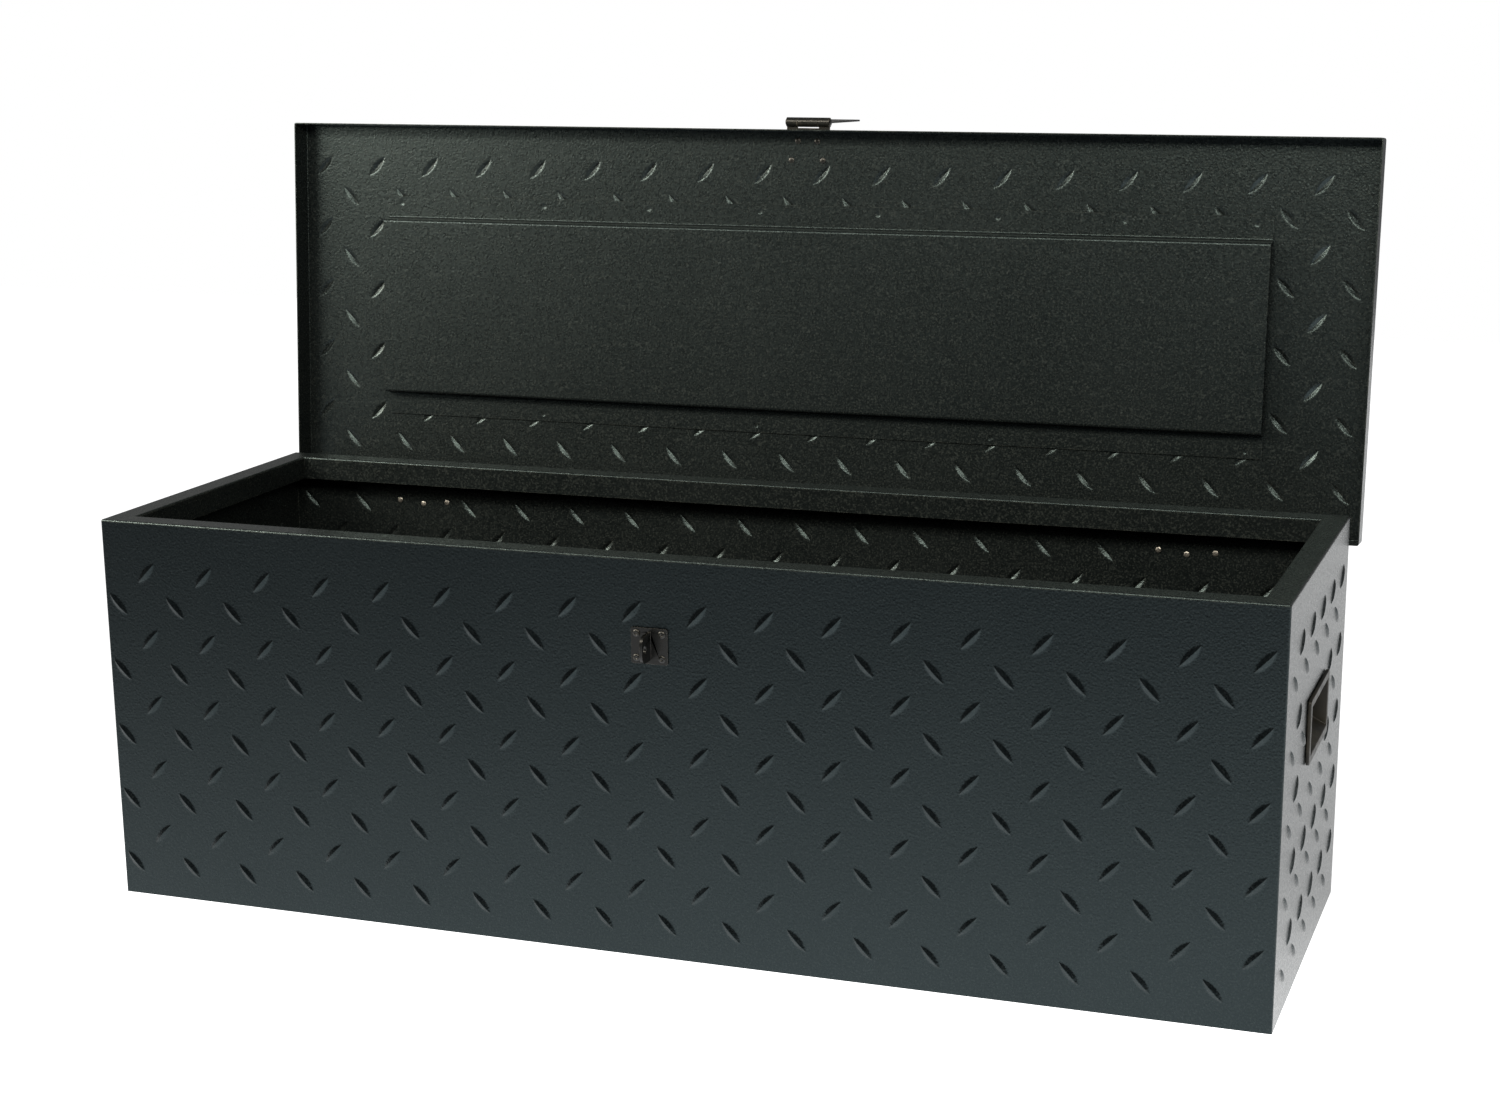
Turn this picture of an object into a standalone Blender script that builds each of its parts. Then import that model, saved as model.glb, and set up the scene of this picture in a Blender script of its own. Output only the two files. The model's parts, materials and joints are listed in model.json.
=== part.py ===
"""Truck tool box: a long steel chest whose lid stands open, with a hasp and two recessed handles.

The box runs along X, its front faces -Y, and it stands on Z = 0 with the middle of its floor at the
origin. Everything on the lid is laid out with the lid closed and hangs from an empty on the hinge
axis, which then turns by the angle that the lid is open. Run with
blender --background --python part.py, or from Blender's text editor.
"""

import math

import bmesh
import bpy
from mathutils import Matrix, Vector

MM = 0.001
CLEARANCE = 0.3 * MM
CUTTER_MARGIN = 1 * MM

# The chest
LENGTH = 1219.2 * MM
DEPTH = 406.4 * MM
HEIGHT = 406.4 * MM
SHEET = 1.2 * MM
LEDGE = 26 * MM
LIP = 25 * MM
FLOOR_FLANGE = 15 * MM

# The lid: a tray that fits over the rim. Closed, it rests on the tails of the hasp's rivets.
LID_REST = 1.5 * MM
LID_OVERHANG_END = 7.4 * MM
LID_OVERHANG_SIDE = 3.5 * MM
LID_FLANGE = 28.3 * MM
LID_OPEN = math.radians(94.3)

# The stiffening panel inside the lid, with a hat-shaped section
HAT_LENGTH = 1018 * MM
HAT_PAN = 198.6 * MM
HAT_FLANGE = 25 * MM
HAT_HEIGHT = 13.5 * MM
HAT_DRAFT = 1.5 * MM

# Hinges: axis position behind the rear wall and below the rim
HINGE_X = 443.5 * MM
HINGE_BEHIND = 6.8 * MM
HINGE_BELOW = 37.9 * MM
HINGE_WIDTH = 80 * MM
HINGE_KNUCKLES = 5
HINGE_BARREL = 4.0 * MM
HINGE_PIN = 2.35 * MM
HINGE_PIN_HEAD = 3.6 * MM
PIN_HEAD_HEIGHT = 1.3 * MM
HARDWARE_SHEET = 1.5 * MM
BOX_LEAF_DROP = 22 * MM
BOX_LEAF_TOP = 0.5 * MM
BOX_LEAF_CRANK = (3.2 * MM, 5.8 * MM)
LID_LEAF_RISE = 35 * MM
LEAF_RIVET_X = 30 * MM
LEAF_RIVET_STEP = 3 * MM
BOX_LEAF_RIVET_Z = -10.6 * MM
LID_LEAF_RIVET_Z = 22 * MM

# Rivets
RIVET_SHANK = 2.0 * MM
RIVET_HOLE = 2.3 * MM
RIVET_HEAD = 3.8 * MM
RIVET_HEAD_HEIGHT = 1.4 * MM
RIVET_TAIL = 3.2 * MM
RIVET_TAIL_HEIGHT = 0.9 * MM
RIVET_TAIL_FLAT = 0.7
RIVET_STEPS = 12

# Hasp
HASP_WIDTH = 49 * MM
HASP_BARREL = 5.2 * MM
HASP_PIN = 2.6 * MM
HASP_PIN_HEAD = 4.3 * MM
HASP_AHEAD = 8.3 * MM
HASP_MIDDLE_KNUCKLE = 24 * MM
HASP_LEAF_ON_LID = 42 * MM
HASP_LEAF_CORNER = 6 * MM
HASP_RIVETS = ((11 * MM, 12 * MM), (18 * MM, 32.5 * MM))
STRAP_LENGTH = 117 * MM
STRAP_SHEET = 1.8 * MM
STRAP_CORNER = 10 * MM
STRAP_SLOT = (7 * MM, 34.5 * MM)
STRAP_SLOT_CORNER = 3.2 * MM
STRAP_FOLDED_BACK = math.radians(177.7)

# Staple
STAPLE_PLATE = (38 * MM, 36 * MM)
STAPLE_CORNER = 2 * MM
STAPLE_BELOW = 86 * MM
STAPLE_RIVETS = (13.2 * MM, 12.2 * MM)
FIN_REACH = 24 * MM
FIN_HEIGHT = 28 * MM
FIN_THICKNESS = 3 * MM
FIN_CORNER = 9 * MM
PADLOCK_HOLE = 4 * MM
PADLOCK_HOLE_OUT = 17 * MM

# End handles
HANDLE_SIZE = (127 * MM, 64 * MM)
HANDLE_BELOW = 157.5 * MM
HANDLE_PROUD = 3.5 * MM
HANDLE_CORNER = 4 * MM
HANDLE_FRAME = 8 * MM
CUP_DEPTH = 26 * MM
CUP_BACK = 32 * MM
CUP_WALL = 2 * MM

# Where things are, in the closed lid's frame or on the chest
FRONT = -DEPTH / 2
REAR = DEPTH / 2
LID_TOP = HEIGHT + LID_REST + SHEET
LID_FRONT = FRONT - LID_OVERHANG_SIDE
LID_REAR = REAR + LID_OVERHANG_SIDE
HINGE_AXIS = Vector((0, REAR + HINGE_BEHIND, HEIGHT - HINGE_BELOW))
HASP_AXIS = Vector((0, LID_FRONT - HASP_AHEAD, LID_TOP + CLEARANCE + HARDWARE_SHEET / 2))
RIVET_STACK = HARDWARE_SHEET + CLEARANCE + SHEET

POWDER_COAT = ((0.030, 0.036, 0.038), 0.55, 0.15)
BLACK_PLASTIC = ((0.012, 0.012, 0.011), 0.6, 0.0)
BLACKED_STEEL = ((0.022, 0.022, 0.020), 0.42, 0.5)
BRIGHT_RIVET = ((0.30, 0.30, 0.28), 0.35, 0.9)


# --- Scene and object helpers ---


def clear_scene():
    for obj in list(bpy.data.objects):
        bpy.data.objects.remove(obj, do_unlink=True)


def new_collection(name):
    made = bpy.data.collections.new(name)
    bpy.context.scene.collection.children.link(made)
    return made


def paint(obj, finish):
    """Gives the object its own Principled material."""
    colour, roughness, metallic = finish
    material = bpy.data.materials.new(obj.name)
    material.use_nodes = True
    shader = material.node_tree.nodes["Principled BSDF"]
    shader.inputs["Base Color"].default_value = (*colour, 1)
    shader.inputs["Roughness"].default_value = roughness
    shader.inputs["Metallic"].default_value = metallic
    material.diffuse_color = (*colour, 1)
    obj.material_slots[0].link = "OBJECT"
    obj.material_slots[0].material = material


def add_part(name, mesh, finish, location=(0, 0, 0), parent=None, turn=(0, 0, 0)):
    """Adds a sub-part that shows, in the tool box's own collection."""
    if not mesh.materials:
        mesh.materials.append(None)
    obj = bpy.data.objects.new(name, mesh)
    obj.location = location
    obj.rotation_euler = turn
    obj.parent = parent
    PARTS.objects.link(obj)
    paint(obj, finish)
    return obj


def add_tool(name, mesh, location=(0, 0, 0), parent=None, turn=(0, 0, 0)):
    """Adds a helper for Booleans, which is not rendered."""
    obj = bpy.data.objects.new(name, mesh)
    obj.location = location
    obj.rotation_euler = turn
    obj.parent = parent
    obj.hide_render = True
    obj.display_type = "WIRE"
    TOOLS.objects.link(obj)
    return obj


def add_pivot(name, location, turn):
    empty = bpy.data.objects.new(name, None)
    empty.location = location
    empty.rotation_euler = turn
    PARTS.objects.link(empty)
    return empty


def boolean(obj, operation, *tools):
    for tool in tools:
        modifier = obj.modifiers.new(tool.name, "BOOLEAN")
        modifier.operation = operation
        modifier.object = tool
        modifier.solver = "EXACT"


def baked(obj):
    """The object's evaluated mesh, with its loose caps welded. The object itself is removed."""
    bpy.context.view_layer.update()
    graph = bpy.context.evaluated_depsgraph_get()
    mesh = bpy.data.meshes.new_from_object(obj.evaluated_get(graph))
    bpy.data.objects.remove(obj, do_unlink=True)
    bm = bmesh.new()
    bm.from_mesh(mesh)
    bmesh.ops.remove_doubles(bm, verts=bm.verts, dist=0.01 * MM)
    bmesh.ops.recalc_face_normals(bm, faces=bm.faces)
    bm.to_mesh(mesh)
    bm.free()
    return mesh


# --- Shape helpers ---


def mesh_from(bm, name):
    mesh = bpy.data.meshes.new(name)
    bm.to_mesh(mesh)
    bm.free()
    return mesh


def block(name, size, centre=(0, 0, 0)):
    bm = bmesh.new()
    matrix = Matrix.Translation(centre) @ Matrix.Diagonal((*size, 1))
    bmesh.ops.create_cube(bm, size=1, matrix=matrix)
    return mesh_from(bm, name)


def rods(name, radius, length, centres, turn=Matrix.Identity(4), segments=24):
    """One mesh of equal cylinders along Z (or turned), one at each centre."""
    bm = bmesh.new()
    for centre in centres:
        bmesh.ops.create_cone(
            bm,
            cap_ends=True,
            segments=segments,
            radius1=radius,
            radius2=radius,
            depth=length,
            matrix=Matrix.Translation(centre) @ turn,
        )
    return mesh_from(bm, name)


ALONG_X = Matrix.Rotation(math.radians(90), 4, "Y")
ALONG_Y = Matrix.Rotation(math.radians(90), 4, "X")


def folded_sheet(name, profile, width, thickness):
    """A sheet folded along X: the (y, z) profile swept by width, thickened on its right-hand side."""
    bm = bmesh.new()
    rows = [[bm.verts.new((x, y, z)) for y, z in profile] for x in (-width / 2, width / 2)]
    for i in range(len(profile) - 1):
        bm.faces.new((rows[0][i], rows[1][i], rows[1][i + 1], rows[0][i + 1]))
    return thickened(name, mesh_from(bm, name), thickness)


def open_tray(name, size, thickness, open_side):
    """A shell of five sheets. open_side is +1 for a tray that is open at its top, -1 at its bottom."""
    bm = bmesh.new()
    bmesh.ops.create_cube(bm, size=1, matrix=Matrix.Diagonal((*size, 1)))
    removed = [face for face in bm.faces if face.normal.z * open_side > 0.5]
    bmesh.ops.delete(bm, geom=removed, context="FACES")
    return thickened(name, mesh_from(bm, name), thickness)


def thickened(name, mesh, thickness):
    """Thickens an open surface on the side that its faces point away from."""
    obj = add_tool(name + "_surface", mesh)
    solidify = obj.modifiers.new("Sheet", "SOLIDIFY")
    solidify.thickness = thickness
    solidify.offset = -1
    solidify.use_even_offset = True
    return baked(obj)


def rounded_outline(width, height, radius, corners=(True, True, True, True), steps=4):
    """A rectangle about the origin, with an arc at each chosen corner, from the top right one round."""
    points = []
    for i, (sx, sy) in enumerate(((1, 1), (-1, 1), (-1, -1), (1, -1))):
        if not corners[i]:
            points.append((sx * width / 2, sy * height / 2))
            continue
        cx, cy = sx * (width / 2 - radius), sy * (height / 2 - radius)
        for step in range(steps + 1):
            angle = math.radians(90) * (i + step / steps)
            points.append((cx + radius * math.cos(angle), cy + radius * math.sin(angle)))
    return points


def circle_outline(radius, centre, steps=16):
    angles = [2 * math.pi * i / steps for i in range(steps)]
    return [(centre[0] + radius * math.cos(a), centre[1] + radius * math.sin(a)) for a in angles]


def plate(name, outlines, thickness, matrix=Matrix.Identity(4)):
    """A flat plate in XY from an outer outline and any holes, its thickness centred on Z = 0."""
    curve = bpy.data.curves.new(name, "CURVE")
    curve.dimensions = "2D"
    curve.fill_mode = "BOTH"
    curve.extrude = thickness / 2
    for outline in outlines:
        spline = curve.splines.new("POLY")
        spline.points.add(len(outline) - 1)
        for point, (x, y) in zip(spline.points, outline):
            point.co = (x, y, 0, 1)
        spline.use_cyclic_u = True
    mesh = baked(add_tool(name + "_outline", curve))
    mesh.transform(matrix)
    return mesh


def turned(name, profile, steps):
    """A turned solid about Z. The (radius, z) profile starts and ends on the axis, from top to bottom."""
    bm = bmesh.new()
    verts = [bm.verts.new((radius, 0, z)) for radius, z in profile]
    for a, b in zip(verts, verts[1:]):
        bm.edges.new((a, b))
    obj = add_tool(name + "_profile", mesh_from(bm, name))
    screw = obj.modifiers.new("Turn", "SCREW")
    screw.axis = "Z"
    screw.steps = steps
    screw.render_steps = steps
    screw.use_merge_vertices = True
    screw.merge_threshold = 0.01 * MM
    return baked(obj)


def dome(radius, height, base, steps=2):
    """Profile points of a rounded head, from its top on the axis down to its rim at the base."""
    angles = [math.radians(90) * i / steps for i in range(steps + 1)]
    return [(radius * math.sin(a), base + height * math.cos(a)) for a in angles]


def smooth(mesh):
    mesh.shade_smooth()
    mesh.set_sharp_from_angle(angle=math.radians(40))
    return mesh


# --- The chest ---


def rim_panel(name, length):
    """A wall whose top is folded in as a ledge and down as a lip. Its outer face is at y = 0, and its
    ends are cut at 45 degrees, so that four of them meet round the chest."""
    profile = [(0, 0), (0, HEIGHT), (LEDGE, HEIGHT), (LEDGE, HEIGHT - LIP)]
    mesh = folded_sheet(name, profile, length, SHEET)
    for vert in mesh.vertices:
        half = length / 2 - vert.co.y - CLEARANCE / 2
        vert.co.x = math.copysign(half, vert.co.x)
    return mesh


def add_walls():
    """The front, rear, left and right walls."""
    long_panel = rim_panel("long_panel", LENGTH)
    short_panel = rim_panel("short_panel", DEPTH)
    sides = (
        ("front_panel", long_panel, (0, FRONT, 0), 0),
        ("rear_panel", long_panel, (0, REAR, 0), 180),
        ("left_end_panel", short_panel, (-LENGTH / 2, 0, 0), -90),
        ("right_end_panel", short_panel, (LENGTH / 2, 0, 0), 90),
    )
    return [
        add_part(name, mesh.copy(), POWDER_COAT, place, turn=(0, 0, math.radians(degrees)))
        for name, mesh, place, degrees in sides
    ]


def add_floor():
    inset = 2 * (SHEET + CLEARANCE)
    size = (LENGTH - inset, DEPTH - inset, FLOOR_FLANGE)
    mesh = open_tray("floor_panel", size, SHEET, open_side=1)
    add_part("floor_panel", mesh, POWDER_COAT, (0, 0, FLOOR_FLANGE / 2))


def handle_mesh():
    """A bezel plate with a finger cup behind it. The wall's outer face is the plane x = 0, +X is
    outwards, and the origin is at the middle of the bezel."""
    width, height = HANDLE_SIZE
    top = height / 2 - HANDLE_FRAME
    bottom = -top
    face = CLEARANCE + HANDLE_PROUD
    facing_x = Matrix(((0, 0, 1, 0), (1, 0, 0, 0), (0, 1, 0, 0), (0, 0, 0, 1)))
    section_along_y = Matrix(((1, 0, 0, 0), (0, 0, -1, 0), (0, 1, 0, 0), (0, 0, 0, 1)))
    middle = Matrix.Translation((CLEARANCE + HANDLE_PROUD / 2, 0, 0))
    bezel_outline = rounded_outline(width, height, HANDLE_CORNER)
    bezel = plate("bezel", [bezel_outline], HANDLE_PROUD, middle @ facing_x)
    back, floor_back = -CUP_DEPTH, top - CUP_BACK
    slope = (floor_back - bottom) / (face - back)
    cavity = [(2 * face, top), (2 * face, bottom), (face, bottom), (back, floor_back), (back, top)]
    outer_back = back - CUP_WALL
    drop = CUP_WALL * math.hypot(1, slope)
    outside = [
        (face / 2, top + CUP_WALL),
        (face / 2, bottom + slope * face / 2 - drop),
        (outer_back, floor_back + slope * CUP_WALL - drop),
        (outer_back, top + CUP_WALL),
    ]
    opening = width - 2 * HANDLE_FRAME
    body = add_tool("handle_body", bezel)
    cup = add_tool("handle_cup", plate("cup", [outside], opening + 2 * CUP_WALL, section_along_y))
    hollow = add_tool("handle_hollow", plate("hollow", [cavity], opening, section_along_y))
    boolean(body, "UNION", cup)
    boolean(body, "DIFFERENCE", hollow)
    mesh = baked(body)
    lowest = min(y for _, y in outside)
    return mesh, (opening / 2 + CUP_WALL, top + CUP_WALL, lowest)


def add_handles(left_panel, right_panel):
    mesh, (reach_y, reach_up, reach_down) = handle_mesh()
    height = HEIGHT - HANDLE_BELOW
    hole_size = (CUP_DEPTH, 2 * (reach_y + CLEARANCE), reach_up - reach_down + 2 * CLEARANCE)
    hole = block("handle_hole", hole_size, (0, 0, (reach_up + reach_down) / 2))
    sides = (("right", LENGTH / 2, 0, right_panel), ("left", -LENGTH / 2, math.pi, left_panel))
    for side, x, angle, panel in sides:
        add_part(f"{side}_handle", mesh.copy(), BLACK_PLASTIC, (x, 0, height), turn=(0, 0, angle))
        boolean(panel, "DIFFERENCE", add_tool(f"{side}_handle_hole", hole, (x, 0, height)))


# --- Rivets ---


def rivet_mesh():
    """A rivet along Z with its head up. Z = 0 is the outer face of the sheets that it joins."""
    under_head = CLEARANCE
    under_tail = -RIVET_STACK - CLEARANCE
    profile = dome(RIVET_HEAD, RIVET_HEAD_HEIGHT, under_head)
    profile += [(RIVET_SHANK, under_head), (RIVET_SHANK, under_tail), (RIVET_TAIL, under_tail)]
    end = under_tail - RIVET_TAIL_HEIGHT
    profile += [(RIVET_TAIL_FLAT * RIVET_TAIL, end), (0, end)]
    return smooth(turned("rivet", profile, RIVET_STEPS))


def add_rivets(name, centres, turn, parent, sheets):
    """Rivets with their heads at the centres, pointing along turned +Z, and their holes in the sheets."""
    rotation = Matrix.Rotation(turn[0], 4, "X")
    for i, centre in enumerate(centres):
        add_part(f"{name}_{i + 1}", RIVET, BRIGHT_RIVET, centre, parent, turn)
    both_ways = 2 * (RIVET_STACK + CUTTER_MARGIN)
    mesh = rods(f"{name}_holes", RIVET_HOLE, both_ways, centres, rotation, segments=16)
    holes = add_tool(f"{name}_holes", mesh, parent=parent)
    for sheet in sheets:
        boolean(sheet, "DIFFERENCE", holes)


# --- Hinges ---


def knuckle_gaps(name, edges, barrel):
    """Blocks that take away the knuckles between each (low, high) pair of places along the barrel."""
    side = 2 * (barrel + CUTTER_MARGIN)
    bm = bmesh.new()
    for low, high in edges:
        size = (high - low + CLEARANCE, side, side)
        matrix = Matrix.Translation(((low + high) / 2, 0, 0)) @ Matrix.Diagonal((*size, 1))
        bmesh.ops.create_cube(bm, size=1, matrix=matrix)
    return add_tool(name, mesh_from(bm, name))


def knuckled(name, sheet_mesh, width, barrel, pin, gaps):
    """A leaf with knuckles: the sheet joined to its barrel, bored for the pin, less the other's knuckles."""
    leaf = add_tool(name + "_sheet", sheet_mesh)
    roll = add_tool(name + "_barrel", rods("barrel", barrel, width, [(0, 0, 0)], ALONG_X))
    bore = add_tool(name + "_bore", rods("bore", pin + CLEARANCE, 2 * width, [(0, 0, 0)], ALONG_X, 16))
    boolean(leaf, "UNION", roll)
    boolean(leaf, "DIFFERENCE", bore, knuckle_gaps(name + "_gaps", gaps, barrel))
    return smooth(baked(leaf))


def pin_mesh(name, radius, head_radius, length):
    """A pin along X with a rounded head at each end of a barrel of this length."""
    end = length / 2 + CLEARANCE
    top = dome(head_radius, PIN_HEAD_HEIGHT, end)
    shank = [(radius, end), (radius, -end)]
    bottom = [(r, -z) for r, z in reversed(top)]
    mesh = turned(name, top + shank + bottom, 16)
    mesh.transform(ALONG_X)
    return smooth(mesh)


def hinge_meshes():
    """The box leaf, lid leaf and pin of a hinge, closed, with the origin on the axis."""
    step = HINGE_WIDTH / HINGE_KNUCKLES
    cuts = [i * step - HINGE_WIDTH / 2 for i in range(HINGE_KNUCKLES + 1)]
    spans = list(zip(cuts, cuts[1:]))
    wall = CLEARANCE - HINGE_BEHIND
    tangent = -HINGE_BARREL + CLEARANCE / 2
    crank_top, crank_bottom = (-z for z in BOX_LEAF_CRANK)
    box_profile = [(wall, -BOX_LEAF_DROP), (wall, crank_bottom)]
    box_profile += [(tangent, crank_top), (tangent, -BOX_LEAF_TOP)]
    box_sheet = folded_sheet("box_leaf_sheet", box_profile, HINGE_WIDTH, HARDWARE_SHEET)
    flange = LID_OVERHANG_SIDE + CLEARANCE - HINGE_BEHIND
    lid_profile = [(flange, 0), (flange, LID_LEAF_RISE)]
    lid_sheet = folded_sheet("lid_leaf_sheet", lid_profile, HINGE_WIDTH, HARDWARE_SHEET)
    sizes = (HINGE_WIDTH, HINGE_BARREL, HINGE_PIN)
    box_leaf = knuckled("box_leaf", box_sheet, *sizes, spans[1::2])
    lid_leaf = knuckled("lid_leaf", lid_sheet, *sizes, spans[0::2])
    return box_leaf, lid_leaf, pin_mesh("hinge_pin", HINGE_PIN, HINGE_PIN_HEAD, HINGE_WIDTH)


def zigzag(x, y, z, step):
    """Three rivet places, the middle one offset by step."""
    return [(x - LEAF_RIVET_X, y, z), (x, y, z + step), (x + LEAF_RIVET_X, y, z)]


def add_hinges(rear_panel, lid_panel, lid_pivot):
    box_leaf, lid_leaf, pin = hinge_meshes()
    facing_back = (-math.radians(90), 0, 0)
    wall_face = REAR + CLEARANCE + HARDWARE_SHEET
    flange_face = LID_REAR + CLEARANCE + HARDWARE_SHEET - HINGE_AXIS.y
    for side, x in (("left", -HINGE_X), ("right", HINGE_X)):
        place = HINGE_AXIS + Vector((x, 0, 0))
        fixed = add_part(f"hinge_box_leaf_{side}", box_leaf.copy(), BLACKED_STEEL, place)
        on_lid = (x, 0, 0)
        moving = add_part(f"hinge_lid_leaf_{side}", lid_leaf.copy(), BLACKED_STEEL, on_lid, lid_pivot)
        add_part(f"hinge_pin_{side}", pin.copy(), BLACKED_STEEL, place)
        low = zigzag(x, wall_face, HINGE_AXIS.z + BOX_LEAF_RIVET_Z, -LEAF_RIVET_STEP)
        add_rivets(f"box_leaf_rivet_{side}", low, facing_back, None, (rear_panel, fixed))
        high = zigzag(x, flange_face, LID_LEAF_RIVET_Z, LEAF_RIVET_STEP)
        add_rivets(f"lid_leaf_rivet_{side}", high, facing_back, lid_pivot, (lid_panel, moving))


# --- The lid ---


def add_lid(lid_pivot):
    size = (LENGTH + 2 * LID_OVERHANG_END, LID_REAR - LID_FRONT, LID_FLANGE)
    mesh = open_tray("lid_panel", size, SHEET, open_side=-1)
    middle = Vector((0, 0, LID_TOP - LID_FLANGE / 2)) - HINGE_AXIS
    return add_part("lid_panel", mesh, POWDER_COAT, middle, lid_pivot)


def add_stiffener(lid_pivot):
    """A hat section across the lid: flange, web, pan, web, flange, below the closed lid's underside."""
    pan, edge = HAT_PAN / 2, HAT_PAN / 2 + HAT_DRAFT + HAT_FLANGE
    half = [(pan, -HAT_HEIGHT), (pan + HAT_DRAFT, 0), (edge, 0)]
    profile = [(-y, z) for y, z in reversed(half)] + half
    mesh = folded_sheet("lid_stiffener", profile, HAT_LENGTH, SHEET)
    place = Vector((0, 0, LID_TOP - SHEET - CLEARANCE)) - HINGE_AXIS
    add_part("lid_stiffener", mesh, POWDER_COAT, place, lid_pivot)


# --- Hasp and staple ---


def hasp_leaf_mesh():
    """The fixed leaf, closed: its sheet lies on the lid and its outer knuckles are round the origin."""
    length = HASP_AHEAD + HASP_LEAF_ON_LID
    outline = rounded_outline(HASP_WIDTH, length, HASP_LEAF_CORNER, (True, True, False, False))
    sheet = plate("hasp_leaf_sheet", [outline], HARDWARE_SHEET, Matrix.Translation((0, length / 2, 0)))
    middle = (-HASP_MIDDLE_KNUCKLE / 2, HASP_MIDDLE_KNUCKLE / 2)
    return knuckled("hasp_leaf", sheet, HASP_WIDTH, HASP_BARREL, HASP_PIN, [middle])


def strap_mesh():
    """The swinging strap as it hangs with the lid closed: down from the origin, with its staple slot."""
    outline = rounded_outline(HASP_WIDTH, STRAP_LENGTH, STRAP_CORNER, (False, False, True, True))
    below = HASP_AXIS.z - (HEIGHT - STAPLE_BELOW)
    rounded_slot = rounded_outline(*STRAP_SLOT, STRAP_SLOT_CORNER)
    slot = [(x, y + STRAP_LENGTH / 2 - below) for x, y in rounded_slot]
    upright = Matrix.Translation((0, 0, -STRAP_LENGTH / 2)) @ ALONG_Y
    sheet = plate("strap_sheet", [outline, slot], STRAP_SHEET, upright)
    half = HASP_MIDDLE_KNUCKLE / 2
    end = HASP_WIDTH / 2 + CUTTER_MARGIN
    outer = [(-end, -half), (half, end)]
    return knuckled("strap", sheet, HASP_WIDTH, HASP_BARREL, HASP_PIN, outer)


def add_hasp(lid_panel, lid_pivot):
    place = HASP_AXIS - HINGE_AXIS
    leaf = add_part("hasp_leaf", hasp_leaf_mesh(), BLACKED_STEEL, place, lid_pivot)
    pin = pin_mesh("hasp_pin", HASP_PIN, HASP_PIN_HEAD, HASP_WIDTH)
    add_part("hasp_pin", pin, BLACKED_STEEL, place, lid_pivot)
    folded_back = (-STRAP_FOLDED_BACK, 0, 0)
    add_part("hasp_strap", strap_mesh(), BLACKED_STEEL, place, lid_pivot, folded_back)
    front_edge = LID_FRONT - HINGE_AXIS.y
    top = LID_TOP + CLEARANCE + HARDWARE_SHEET - HINGE_AXIS.z
    places = [(sign * x, front_edge + y, top) for x, y in HASP_RIVETS for sign in (-1, 1)]
    add_rivets("hasp_rivet", places, (0, 0, 0), lid_pivot, (lid_panel, leaf))


def fin_outline():
    """The fin seen from the side, from inside its plate out to its rounded end, as (out, up) points."""
    buried = HARDWARE_SHEET / 2
    reach = FIN_REACH - CLEARANCE - buried
    rounded = rounded_outline(reach, FIN_HEIGHT, FIN_CORNER, (True, False, False, True))
    return [(x + reach / 2 + CLEARANCE + buried, y) for x, y in rounded]


def staple_mesh():
    """The staple on a wall whose outer face is the plane y = 0, with -Y outwards."""
    on_wall = Matrix.Translation((0, -CLEARANCE - HARDWARE_SHEET / 2, 0)) @ ALONG_Y
    base = plate("staple_base", [rounded_outline(*STAPLE_PLATE, STAPLE_CORNER)], HARDWARE_SHEET, on_wall)
    edge_on = Matrix(((0, 0, 1, 0), (-1, 0, 0, 0), (0, 1, 0, 0), (0, 0, 0, 1)))
    hole = circle_outline(PADLOCK_HOLE, (PADLOCK_HOLE_OUT, 0))
    fin = plate("staple_fin", [fin_outline(), hole], FIN_THICKNESS, edge_on)
    body = add_tool("staple_body", base)
    boolean(body, "UNION", add_tool("staple_fin_body", fin))
    return baked(body)


def add_staple(front_panel):
    height = HEIGHT - STAPLE_BELOW
    staple = add_part("staple", staple_mesh(), BLACKED_STEEL, (0, FRONT, height))
    x, z = STAPLE_RIVETS
    face = FRONT - CLEARANCE - HARDWARE_SHEET
    places = [(sx * x, face, height + sz * z) for sz in (1, -1) for sx in (-1, 1)]
    add_rivets("staple_rivet", places, (math.radians(90), 0, 0), None, (front_panel, staple))


clear_scene()
PARTS = new_collection("truck_tool_box")
TOOLS = new_collection("cutters")
RIVET = rivet_mesh()
front_panel, rear_panel, left_panel, right_panel = add_walls()
add_floor()
add_handles(left_panel, right_panel)
lid_pivot = add_pivot("lid_pivot", HINGE_AXIS, (-LID_OPEN, 0, 0))
lid_panel = add_lid(lid_pivot)
add_stiffener(lid_pivot)
add_hinges(rear_panel, lid_panel, lid_pivot)
add_hasp(lid_panel, lid_pivot)
add_staple(front_panel)
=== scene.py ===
"""Looks of the truck tool box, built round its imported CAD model.

Everything is in metres in the CAD's frame: X along the chest, -Y its front, +Z up. The lid's pieces
are laid out as if the lid were closed, and LID_TURN then takes them to where the open lid is.
"""

import json
import math

import bmesh
import bpy
from mathutils import Matrix, Vector
from mathutils.geometry import delaunay_2d_cdt


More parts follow.
